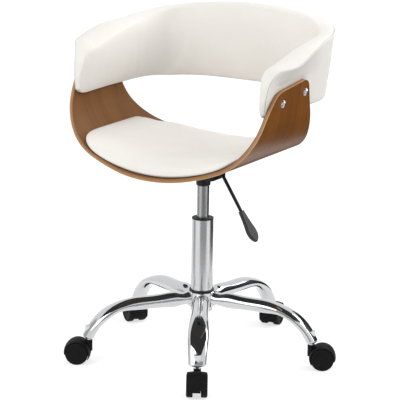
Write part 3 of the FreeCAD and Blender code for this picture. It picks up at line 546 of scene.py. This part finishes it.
def makeShell():
    rows = shellRows()
    columns = shell["columns"]
    sheet = []
    for front, rear in rows:
        for j in range(columns):
            f = j / (columns - 1)
            f = f + shell["columnEase"] * math.sin(2 * math.pi * f)
            sheet.append((front[0] + (rear[0] - front[0]) * f, front[1] + (rear[1] - front[1]) * f))
    count = len(sheet)
    points = [bendPoint(run, y, 0) for run, y in sheet]
    points += [bendPoint(run, y, shell["ply"]) for run, y in sheet]
    outer = gridFaces(len(rows), columns)
    inner = [tuple(count + v for v in reversed(f)) for f in outer]
    rim = [i * columns for i in range(len(rows))]
    rim += [(len(rows) - 1) * columns + j for j in range(1, columns)]
    rim += [i * columns + columns - 1 for i in range(len(rows) - 2, -1, -1)]
    rim += [j for j in range(columns - 2, 0, -1)]
    edge = []
    for a, b in zip(rim, rim[1:] + rim[:1]):
        edge.append((b, a, count + a, count + b))
    piece = makePiece("plyShell", points, outer + inner + edge,
                      [finishes["walnut"], veneerInside, plyEdge])
    layer = piece.data.uv_layers.new(name="bend")
    for polygon in piece.data.polygons:
        polygon.material_index = 0 if polygon.index < len(outer) else 1
        if polygon.index >= len(outer) + len(inner):
            polygon.material_index = 2
        for loop in polygon.loop_indices:
            v = piece.data.loops[loop].vertex_index
            run, y = sheet[v % count]
            if polygon.material_index == 2:
                layer.data[loop].uv = ((run + y) * mm, 0.0 if v < count else 1.0)
            else:
                shift = polygon.material_index * shell["insideShift"]
                layer.data[loop].uv = (y * mm + shift, run * mm)
    bevel = piece.modifiers.new("easedEdges", "BEVEL")
    bevel.width = shell["edgeEase"] * mm
    bevel.segments = shell["bevelSteps"]
    bevel.limit_method = "ANGLE"
    bevel.angle_limit = math.radians(shell["bevelOverDeg"])
    piece.data.set_sharp_from_angle(angle=math.radians(shell["sharpOverDeg"]))
    fit(piece, "seat", "walnut", "plywood_shell")
    return piece


plyShell = makeShell()
print("plywood shell bent:", len(plyShell.data.polygons), "faces")


clothRun = {"frames": 20, "stretch": 18.0, "bending": 5.0}


def puff(piece, held, pressure, cap):
    # cloth pressure from inside; held is each vertex's pin weight, cap the most a point may move
    pins = piece.vertex_groups.new(name="held")
    for index, weight in enumerate(held):
        if weight > 0:
            pins.add([index], weight, "REPLACE")
    cloth = piece.modifiers.new("padding", "CLOTH")
    cloth.settings.vertex_group_mass = "held"
    cloth.settings.use_pressure = True
    cloth.settings.uniform_pressure_force = pressure
    cloth.settings.effector_weights.gravity = 0.0
    cloth.settings.tension_stiffness = clothRun["stretch"]
    cloth.settings.compression_stiffness = clothRun["stretch"]
    cloth.settings.bending_stiffness = clothRun["bending"]
    cloth.point_cache.frame_start = 1
    cloth.point_cache.frame_end = clothRun["frames"]
    for number in range(1, clothRun["frames"] + 1):
        scene.frame_set(number)
    shaped = piece.evaluated_get(bpy.context.evaluated_depsgraph_get())
    after = [v.co.copy() for v in shaped.data.vertices]
    piece.modifiers.remove(cloth)
    scene.frame_set(1)
    moved = 0.0
    for vertex, co in zip(piece.data.vertices, after):
        shift = co - vertex.co
        if shift.length > cap * mm:
            shift *= cap * mm / shift.length
        moved = max(moved, shift.length)
        vertex.co += shift
    piece.vertex_groups.remove(pins)
    print("  ", piece.name, "puffed by up to", round(moved * 1000, 1), "mm")


# seat cushion: foam crowned over the curved board, vinyl pulled down round its edge. The lower
# rings give the share of the plan and of the thickness
cushion = {"front": 208.0, "frontBow": 16.0, "rear": 60.0, "rearBow": 93.0, "side": 203.0,
           "frontSquareness": 10.0, "rearSquareness": 6.5, "middle": 31.5, "sideFall": 26.0,
           "sideFallPower": 4.6, "edgeSink": 0.45, "edgeSinkPower": 12, "least": 5.0,
           "under": 9.4, "round": 112, "topRings": 16, "topShare": 0.955, "topPower": 0.85,
           "edgeRings": 4, "edgeRise": 0.5, "pressure": 1.6, "cap": 3.0, "planSteps": 12,
           "lowerRings": ((1.0, 0.3), (0.998, 0.1), (0.99, 0.0), (0.96, 0.0), (0.80, 0.0),
                          (0.5, 0.0), (0.2, 0.0))}


def cushionPlan(angle, share):
    # a point of the plan, on rings that shrink towards the middle: a squarish oval with bowed ends
    end = "rear" if math.sin(angle) > 0 else "front"
    power = cushion[end + "Squareness"]
    x = 0.0
    for _ in range(cushion["planSteps"]):
        reach = cushion[end] + cushion[end + "Bow"] * (1 - (x / cushion["side"]) ** 2)
        across = abs(math.cos(angle) / cushion["side"]) ** power
        along = abs(math.sin(angle) / reach) ** power
        radius = (across + along) ** (-1 / power)
        x = (x + radius * math.cos(angle)) / 2
    return radius * math.cos(angle) * share, radius * math.sin(angle) * share


def overShell(x, y, depth):
    # the point over the shell at this plan x and this depth from its outer face
    angle = math.asin(min(0.999, abs(x) / (shell["seatRadius"] - depth)))
    run = angle * shell["seatRadius"]
    if angle > seatArc:
        angle = math.asin(min(0.999, (abs(x) - cornerX) / (shell["cornerRadius"] - depth)))
        run = seatRun + (angle - seatArc) * shell["cornerRadius"]
    return bendPoint(math.copysign(run, x), y, depth)


def makeCushion():
    # rings from the middle of the top, over the rounded edge and down to the board's underside
    points = []
    held = []
    rings = []
    top, edge = cushion["topShare"], cushion["edgeRise"]
    for k in range(1, cushion["topRings"] + 1):
        rings.append((top * (k / cushion["topRings"]) ** cushion["topPower"], 1.0))
    for k in range(1, cushion["edgeRings"] + 1):
        a = math.pi / 2 * k / cushion["edgeRings"]
        rings.append((top + (1.0 - top) * math.sin(a), edge + (1.0 - edge) * math.cos(a)))
    rings += cushion["lowerRings"]
    for share, rise in rings:
        for j in range(cushion["round"]):
            x, y = cushionPlan(2 * math.pi * (j + 0.5) / cushion["round"], share)
            spanX = min(1.0, abs(x) / cushion["side"])
            full = cushion["middle"] - cushion["sideFall"] * spanX ** cushion["sideFallPower"]
            sink = cushion["edgeSink"] * share ** cushion["edgeSinkPower"]
            full = max(cushion["least"], full * (1.0 - sink))
            depth = cushion["under"] + full * rise
            points.append(overShell(x, y, depth))
            held.append(1.0 if rise < edge else 0.0)
    columns = cushion["round"]
    faces = gridFaces(len(rings), columns, wrap=True)
    centre = len(points)
    points.append(overShell(0.0, 0.0, cushion["under"] + cushion["middle"]))
    points.append(overShell(0.0, 0.0, cushion["under"]))
    held += [0.0, 1.0]
    last = (len(rings) - 1) * columns
    for j in range(columns):
        k = (j + 1) % columns
        faces.append((centre, k, j))
        faces.append((centre + 1, last + j, last + k))
    piece = makePiece("seatPad", points, faces, [finishes["leatherette"]])
    faceOutwards(piece)
    puff(piece, held, cushion["pressure"], cushion["cap"])
    subdivide(piece, 1)
    fit(piece, "seat", "leatherette", "seat_cushion")


makeCushion()
print("seat cushion made")


# backrest: one padded band from arm to arm. Each station gives the foot of a cross-section in plan
# (an x of 0 stands on the arm's face) and its inward turn, and the section's corners as shares of
# the band's depth and height: outer step, outer crease, inner crease, belly, inner foot, foot rise.
# Each stretch of the section's line has its own count of points; an end cap's rows give the share
# of the section and of the reach
back = {"bottom": 611.0, "height": 180.0, "depth": 50.0, "frontReach": 157.0, "backReach": 221.0,
        "swell": 3.3, "armGap": 0.45, "facing": 2.2, "facingGap": 0.2, "roll": 0.10,
        "footRoll": 0.06, "perStation": 7, "pressure": 1.0, "cap": 1.6, "creaseSharpness": 0.75,
        "footRows": 6, "stepRows": 8, "rollRows": 9, "bellyRows": 14, "underRows": 7,
        "topMargin": 1.0, "armAbove": 4.0, "armAside": 3.0, "endReach": 5.0,
        "endRows": ((0.90, 0.45), (0.66, 0.8), (0.33, 0.97)),
        "plan": ((0, -1.0, 0), (0, -0.945, 0), (0, -0.82, 0), (0, -0.57, 0), (0, -0.09, 0),
                 (0, 0.13, 0), (0.985, 0.30, 8), (0.965, 0.525, 24), (0.865, 0.765, 45),
                 (0.63, 0.93, 67), (0.33, 0.985, 82), (0.0, 1.0, 90)),
        "sections": (
            ((-0.10, 0.16), (-0.09, 0.25), (0.22, 0.25), (0.25, 0.15), (0.21, 0.06), 0.055),
            ((-0.16, 0.28), (-0.20, 0.43), (0.31, 0.41), (0.30, 0.22), (0.20, 0.02), 0.015),
            ((-0.22, 0.36), (-0.43, 0.56), (0.38, 0.545), (0.36, 0.27), (0.19, 0.0), 0.0),
            ((-0.26, 0.39), (-0.92, 0.615), (0.40, 0.60), (0.40, 0.30), (0.19, 0.0), 0.0),
            ((-0.26, 0.40), (-0.84, 0.73), (0.36, 0.71), (0.46, 0.33), (0.21, 0.0), 0.0),
            ((-0.26, 0.42), (-0.68, 0.765), (0.36, 0.75), (0.49, 0.34), (0.24, 0.0), 0.0),
            ((-0.25, 0.44), (-0.47, 0.79), (0.34, 0.78), (0.54, 0.36), (0.28, 0.0), 0.0),
            ((-0.23, 0.45), (-0.41, 0.825), (0.35, 0.815), (0.62, 0.39), (0.37, 0.0), 0.0),
            ((-0.20, 0.46), (-0.32, 0.875), (0.42, 0.865), (0.70, 0.43), (0.46, 0.0), 0.0),
            ((-0.14, 0.48), (-0.25, 0.925), (0.46, 0.915), (0.72, 0.47), (0.46, 0.0), 0.0),
            ((-0.11, 0.50), (-0.22, 0.97), (0.46, 0.96), (0.70, 0.49), (0.44, 0.0), 0.0),
            ((-0.10, 0.50), (-0.20, 0.995), (0.46, 0.985), (0.68, 0.50), (0.44, 0.0), 0.0))}


def armFace(z):
    foot = bendPoint(seatRun + cornerRun, 0, shell["ply"])
    return foot.x + (z - foot.z) / math.tan(armAngle)


def onArm(index):
    return back["plan"][index][0] == 0 and back["plan"][index][1] < 1


def sectionCorners(index, shift):
    # corners of one station's section, the outer ones moved inward by a shift
    shareX, shareY, turnDeg = back["plan"][index]
    y = shareY * (back["backReach"] if shareY > 0 else back["frontReach"])
    face = armFace(back["bottom"])
    x = face - back["armGap"] if onArm(index) else (face + back["swell"]) * shareX
    turn = math.radians(turnDeg)
    inward = Vector((-math.cos(turn), -math.sin(turn), 0))
    step, crease, innerCrease, belly, innerFoot, footRise = back["sections"][index]
    base = back["height"] * footRise

    def at(depthShare, heightShare, move=0.0):
        height = Vector((0, 0, back["bottom"] + back["height"] * heightShare))
        return Vector((x, y, 0)) + inward * (back["depth"] * depthShare + move) + height
    lean = armFace(back["bottom"] + base) - armFace(back["bottom"])
    outerFoot = at(0, footRise, shift) - inward * lean
    outerStep = at(step[0], step[1], shift)
    if onArm(index):
        outerStep.x = armFace(outerStep.z) - back["armGap"] - shift
    return [outerFoot, outerStep, at(crease[0], crease[1], shift),
            at(*innerCrease), at(*belly), at(*innerFoot)]


def bandCorners(shift):
    # all 23 stations, from the sitter's left arm round to the right
    half = [sectionCorners(k, shift) for k in range(len(back["plan"]))]
    other = [[Vector((-p.x, p.y, p.z)) for p in row] for row in half[-2::-1]]
    return half + other


def keepOffArm(p):
    # holds a point of the band clear of the plywood arm's inner face
    aside = back["armAside"]
    rear = yAtHeight(rearLine, min(p.z, shell["topRear"][1] - back["topMargin"])) + aside
    front = yAtHeight(frontLine, min(p.z, shell["topFront"][1] - back["topMargin"])) - aside
    if p.z < shell["topRear"][1] + back["armAbove"] and front < p.y < rear:
        limit = armFace(p.z) - back["armGap"]
        p.x = max(-limit, min(limit, p.x))
    return p


def bow(a, b, rise, count):
    # points after a, up to and with b, on a shallow arc that rises off the line between them
    middle = (a + b) / 2 + rise
    points = []
    for k in range(1, count + 1):
        f = k / count
        points.append(a * (1 - f) ** 2 + middle * (2 * f * (1 - f)) + b * f * f)
    return points


def outerLine(foot, step, crease):
    # up the outer face, from the foot over the step to the outer crease
    line = [foot.lerp(step, k / back["footRows"]) for k in range(back["footRows"])]
    line += [step.lerp(crease, k / back["stepRows"]) for k in range(back["stepRows"])]
    return line + [crease]


def sectionLine(corners):
    # the closed line round the padding: outer face, roll, belly and foot
    foot, step, crease, innerCrease, belly, innerFoot = corners
    roll = Vector((0, 0, 2 * back["roll"] * (innerCrease - crease).length))
    under = Vector((0, 0, -2 * back["footRoll"] * (innerFoot - foot).length))
    bulge = belly - (innerCrease + innerFoot) / 2
    line = outerLine(foot, step, crease)
    line += bow(crease, innerCrease, roll, back["rollRows"])
    line += bow(innerCrease, innerFoot, bulge * 2, back["bellyRows"])
    line += bow(innerFoot, foot, under, back["underRows"])[:-1]
    return line


creaseColumn = back["footRows"] + back["stepRows"]
innerCreaseColumn = creaseColumn + back["rollRows"]


def bandRows(shift, line):
    # one row of points per step along the band, each by the line function from six corners
    stations = bandCorners(shift)
    step = back["perStation"]
    rows = []
    for k in range((len(stations) - 1) * step + 1):
        corners = [through(places, k / step) for places in zip(*stations)]
        rows.append([keepOffArm(p) for p in line(corners)])
    return rows


def roundEnds(rows):
    # closes both ends of the band with rows that shrink forwards
    closed = list(rows)
    for end, nextRow in ((rows[0], rows[1]), (rows[-1], rows[-2])):
        centre = sum(end, Vector()) / len(end)
        ahead = (centre - sum(nextRow, Vector()) / len(nextRow)).normalized()
        caps = []
        for shrink, push in back["endRows"]:
            caps.append([centre.lerp(p, shrink) + ahead * (back["endReach"] * push) for p in end])
        closed = caps[::-1] + closed if end is rows[0] else closed + caps
    return closed


def sharpen(piece, pairs, weight):
    # keeps the named edges crisp when the piece is smoothed
    layer = piece.data.attributes.new("crease_edge", "FLOAT", "EDGE")
    for edge in piece.data.edges:
        pair = tuple(sorted(edge.vertices))
        layer.data[edge.index].value = weight if pair in pairs else 0.0


def makePad():
    rows = roundEnds(bandRows(back["facing"], sectionLine))
    columns = len(rows[0])
    points = [p for row in rows for p in row]
    faces = gridFaces(len(rows), columns, wrap=True)
    for row, flip in ((0, True), (len(rows) - 1, False)):
        centre = len(points)
        points.append(sum(rows[row], Vector()) / columns)
        for j in range(columns):
            a, b = row * columns + j, row * columns + (j + 1) % columns
            faces.append((centre, b, a) if flip else (centre, a, b))
    held = []
    caps = len(back["endRows"])
    for i in range(len(rows)):
        fromEnd = min(i, len(rows) - 1 - i)
        for j in range(columns):
            pin = 1.0 if j == creaseColumn or j <= back["footRows"] else 0.0
            if j == innerCreaseColumn:
                pin = max(0.0, 0.5 - fromEnd / (len(rows) / 2))
            held.append(1.0 if fromEnd < caps else pin)
    held += [1.0, 1.0]
    piece = makePiece("backrestPad", points, faces, [finishes["leatherette"]])
    faceOutwards(piece)
    sharpen(piece, {(i * columns + creaseColumn, (i + 1) * columns + creaseColumn)
                    for i in range(caps, len(rows) - caps - 1)}, back["creaseSharpness"])
    puff(piece, held, back["pressure"], back["cap"])
    subdivide(piece, 1)
    fit(piece, "seat", "leatherette", "backrest_pad", "backrest_core")
    return piece


def makeFacing():
    # outer panel of the band: a thin upholstered skin from the foot up to the outer crease
    rows = bandRows(0.0, lambda corners: outerLine(*corners[:3]))
    points = [p for row in rows for p in row]
    faces = gridFaces(len(rows), len(rows[0]))
    piece = makePiece("backrestFacing", points, faces, [finishes["leatherette"]])
    work = bmesh.new()
    work.from_mesh(piece.data)
    bmesh.ops.recalc_face_normals(work, faces=work.faces)
    middle = max(work.faces, key=lambda f: f.calc_center_median().y)
    if middle.normal.y < 0:
        bmesh.ops.reverse_faces(work, faces=work.faces)
    work.to_mesh(piece.data)
    work.free()
    skin = piece.modifiers.new("thickness", "SOLIDIFY")
    skin.thickness = (back["facing"] - back["facingGap"]) * mm
    skin.offset = -1.0
    subdivide(piece, 1)
    fit(piece, "seat", "leatherette", "backrest_facing")
    return piece


backrestPad = makePad()
backrestFacing = makeFacing()
print("backrest band made:", len(backrestPad.data.polygons), "faces")


# topstitching: two rows beside the band's outer crease, laid by a node tree along a line. The
# first row lies over the padding, the second below the crease on the outer panel
stitch = {"pitch": 4.8, "length": 3.7, "thread": 0.55, "sink": 0.10, "beside": (4.4, -4.0),
          "leaveEnds": 3, "segments": 8, "rings": 6}


def makeStitchTree():
    tree = bpy.data.node_groups.new("stitchRow", "GeometryNodeTree")
    sockets = {}
    for label, kind in (("Line", "NodeSocketGeometry"), ("Pitch", "NodeSocketFloat"),
                        ("Length", "NodeSocketFloat"), ("Thread", "NodeSocketFloat"),
                        ("Material", "NodeSocketMaterial")):
        socket = tree.interface.new_socket(label, in_out="INPUT", socket_type=kind)
        sockets[label] = socket.identifier
    tree.interface.new_socket("Stitches", in_out="OUTPUT", socket_type="NodeSocketGeometry")
    inside = tree.nodes.new("NodeGroupInput")
    outside = tree.nodes.new("NodeGroupOutput")
    curve = addNode(tree, "GeometryNodeMeshToCurve")
    even = addNode(tree, "GeometryNodeResampleCurve", mode="LENGTH")
    ball = addNode(tree, "GeometryNodeMeshUVSphere", Segments=stitch["segments"],
                   Rings=stitch["rings"], Radius=1.0)
    size = addNode(tree, "ShaderNodeCombineXYZ")
    form = addNode(tree, "GeometryNodeTransform")
    tangent = addNode(tree, "GeometryNodeInputTangent")
    turn = addNode(tree, "FunctionNodeAlignRotationToVector", axis="X")
    repeat = addNode(tree, "GeometryNodeInstanceOnPoints")
    real = addNode(tree, "GeometryNodeRealizeInstances")
    shade = addNode(tree, "GeometryNodeSetMaterial")
    link(tree, inside.outputs["Line"], curve.inputs["Mesh"])
    link(tree, curve.outputs["Curve"], even.inputs["Curve"])
    link(tree, inside.outputs["Pitch"], even.inputs["Length"])
    link(tree, mathNode(tree, "MULTIPLY", inside.outputs["Length"], 0.5), size.inputs["X"])
    link(tree, inside.outputs["Thread"], size.inputs["Y"])
    link(tree, inside.outputs["Thread"], size.inputs["Z"])
    link(tree, ball.outputs["Mesh"], form.inputs["Geometry"])
    link(tree, size.outputs[0], form.inputs["Scale"])
    link(tree, tangent.outputs["Tangent"], turn.inputs["Vector"])
    link(tree, even.outputs["Curve"], repeat.inputs["Points"])
    link(tree, form.outputs["Geometry"], repeat.inputs["Instance"])
    link(tree, turn.outputs["Rotation"], repeat.inputs["Rotation"])
    link(tree, repeat.outputs["Instances"], real.inputs["Geometry"])
    link(tree, real.outputs["Geometry"], shade.inputs["Geometry"])
    link(tree, inside.outputs["Material"], shade.inputs["Material"])
    link(tree, shade.outputs["Geometry"], outside.inputs["Stitches"])
    return tree, sockets


def surfaceOf(piece):
    return BVHTree.FromObject(piece, bpy.context.evaluated_depsgraph_get())


def sewAlong(name, lines, body):
    # one plain mesh of stitches along lines of points in metres
    tree, sockets = makeStitchTree()
    points = [p for line in lines for p in line]
    edges = []
    start = 0
    for line in lines:
        edges += [(start + k, start + k + 1) for k in range(len(line) - 1)]
        start += len(line)
    mesh = bpy.data.meshes.new(name + "Line")
    mesh.from_pydata(points, edges, [])
    guide = bpy.data.objects.new(name + "Line", mesh)
    scene.collection.objects.link(guide)
    modifier = guide.modifiers.new("stitches", "NODES")
    modifier.node_group = tree
    for label, value in (("Pitch", stitch["pitch"] * mm), ("Length", stitch["length"] * mm),
                         ("Thread", stitch["thread"] * mm), ("Material", thread)):
        modifier[sockets[label]] = value
    laid = guide.evaluated_get(bpy.context.evaluated_depsgraph_get())
    sewn = bpy.data.meshes.new_from_object(laid)
    sewn.name = name
    bpy.data.objects.remove(guide)
    piece = bpy.data.objects.new(name, sewn)
    scene.collection.objects.link(piece)
    piece.data.polygons.foreach_set("use_smooth", [True] * len(piece.data.polygons))
    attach(piece, body)
    return piece


def seamLine(surface, beside):
    # the outer crease, moved square to itself over the padding or down the outer panel
    line = []
    rows = bandRows(0.0, sectionLine)
    for row in rows[stitch["leaveEnds"]:-stitch["leaveEnds"]]:
        toward = row[creaseColumn + (1 if beside > 0 else -1)] - row[creaseColumn]
        p = row[creaseColumn] + toward.normalized() * abs(beside)
        place, normal = surface.find_nearest(p * mm)[:2]
        line.append(place - normal * (stitch["sink"] * mm))
    return line


seams = [seamLine(surfaceOf(piece), beside)
         for piece, beside in zip((backrestPad, backrestFacing), stitch["beside"])]
topstitch = sewAlong("topstitch", seams, "seat")
print("topstitching laid:", len(topstitch.data.polygons), "faces")


# studio: white ground, soft boxes, and cards that only reflections see. A box has its azimuth and
# elevation, distance, size and power; a card its width, height and tone after the distance
studio = {"floorSize": 40.0, "floorTone": 0.46, "glow": 0.66, "ambient": 0.81, "aimHeight": 0.42,
          "boxes": (("keyBox", (-18, 34), 3.2, 2.2, 35.0), ("fillBox", (136, 28), 3.4, 2.4, 68.0),
                    ("topBox", (20, 86), 3.0, 2.4, 3.0)),
          "cards": (("ceilingCard", (31, 90), 1.9, 4.4, 3.6, 0.045),
                    ("underCard", (31, 90), 0.033, 0.34, 0.45, 0.05),
                    ("frontCard", (40, -18), 0.66, 0.84, 0.40, 0.42),
                    ("leftCard", (-62, -18), 0.66, 0.36, 0.40, 0.55),
                    ("roomCard", (22, 24), 4.0, 3.0, 1.3, 0.05),
                    ("sideCard", (146, -12), 0.85, 1.0, 0.80, 0.03))}


def seenByViewer(tree):
    # 1 for camera, mirror and glass rays, 0 for the light that falls on surfaces
    path = addNode(tree, "ShaderNodeLightPath")
    seen = mathNode(tree, "MAXIMUM", path.outputs["Is Camera Ray"], path.outputs["Is Glossy Ray"])
    return mathNode(tree, "MAXIMUM", seen, path.outputs["Is Transmission Ray"])


def whiteForViewer(tree, lit, out):
    # the viewer sees the ground a little lighter than it is lit
    glow = addNode(tree, "ShaderNodeEmission", Color=(1, 1, 1, 1))
    strength = mathNode(tree, "MULTIPLY", seenByViewer(tree), studio["glow"])
    link(tree, strength, glow.inputs["Strength"])
    both = addNode(tree, "ShaderNodeAddShader")
    link(tree, lit, both.inputs[0])
    link(tree, glow.outputs[0], both.inputs[1])
    link(tree, both.outputs[0], out)


def makeFloor():
    bpy.ops.mesh.primitive_plane_add(size=studio["floorSize"], location=(0, 0, 0))
    floor = bpy.context.object
    floor.name = "studioFloor"
    tone = studio["floorTone"]
    material = bpy.data.materials.new("studioFloor")
    material.use_nodes = True
    tree = material.node_tree
    tree.nodes.remove(tree.nodes["Principled BSDF"])
    matt = addNode(tree, "ShaderNodeBsdfDiffuse", Color=(tone, tone, tone, 1))
    whiteForViewer(tree, matt.outputs[0], tree.nodes["Material Output"].inputs["Surface"])
    floor.data.materials.append(material)


def lookAt(thing, azimuth, elevation, distance):
    # places a lamp or card round the chair's middle and turns it there
    a, e = math.radians(azimuth), math.radians(elevation)
    away = Vector((math.sin(a) * math.cos(e), -math.cos(a) * math.cos(e), math.sin(e)))
    thing.location = Vector((0, 0, studio["aimHeight"])) + away * distance
    thing.rotation_mode = "QUATERNION"
    thing.rotation_quaternion = away.to_track_quat("Z", "Y")


def makeLights():
    for name, (azimuth, elevation), distance, size, power in studio["boxes"]:
        data = bpy.data.lights.new(name, "AREA")
        data.shape = "SQUARE"
        data.size = size
        data.energy = power
        lamp = bpy.data.objects.new(name, data)
        scene.collection.objects.link(lamp)
        lookAt(lamp, azimuth, elevation, distance)
    world = bpy.data.worlds.new("studioWorld")
    scene.world = world
    world.use_nodes = True
    tree = world.node_tree
    surround = tree.nodes["Background"]
    level = spread(tree, seenByViewer(tree), studio["ambient"], 1.0)
    link(tree, level, surround.inputs["Strength"])
    surround.inputs["Color"].default_value = (1, 1, 1, 1)


def makeCards():
    # flat cards of one tone each, from black to grey
    for name, (azimuth, elevation), distance, width, height, tone in studio["cards"]:
        bpy.ops.mesh.primitive_plane_add(size=1)
        card = bpy.context.object
        card.name = name
        card.scale = (width, height, 1)
        lookAt(card, azimuth, elevation, distance)
        material = bpy.data.materials.new(name)
        material.use_nodes = True
        tree = material.node_tree
        tree.nodes.remove(tree.nodes["Principled BSDF"])
        plain = addNode(tree, "ShaderNodeEmission", Color=(tone, tone, tone, 1))
        link(tree, plain.outputs[0], tree.nodes["Material Output"].inputs["Surface"])
        card.data.materials.append(material)
        card.visible_camera = False
        card.visible_diffuse = False
        card.visible_shadow = False


makeFloor()
makeLights()
makeCards()
scene.view_settings.view_transform = "Standard"
print("studio set")
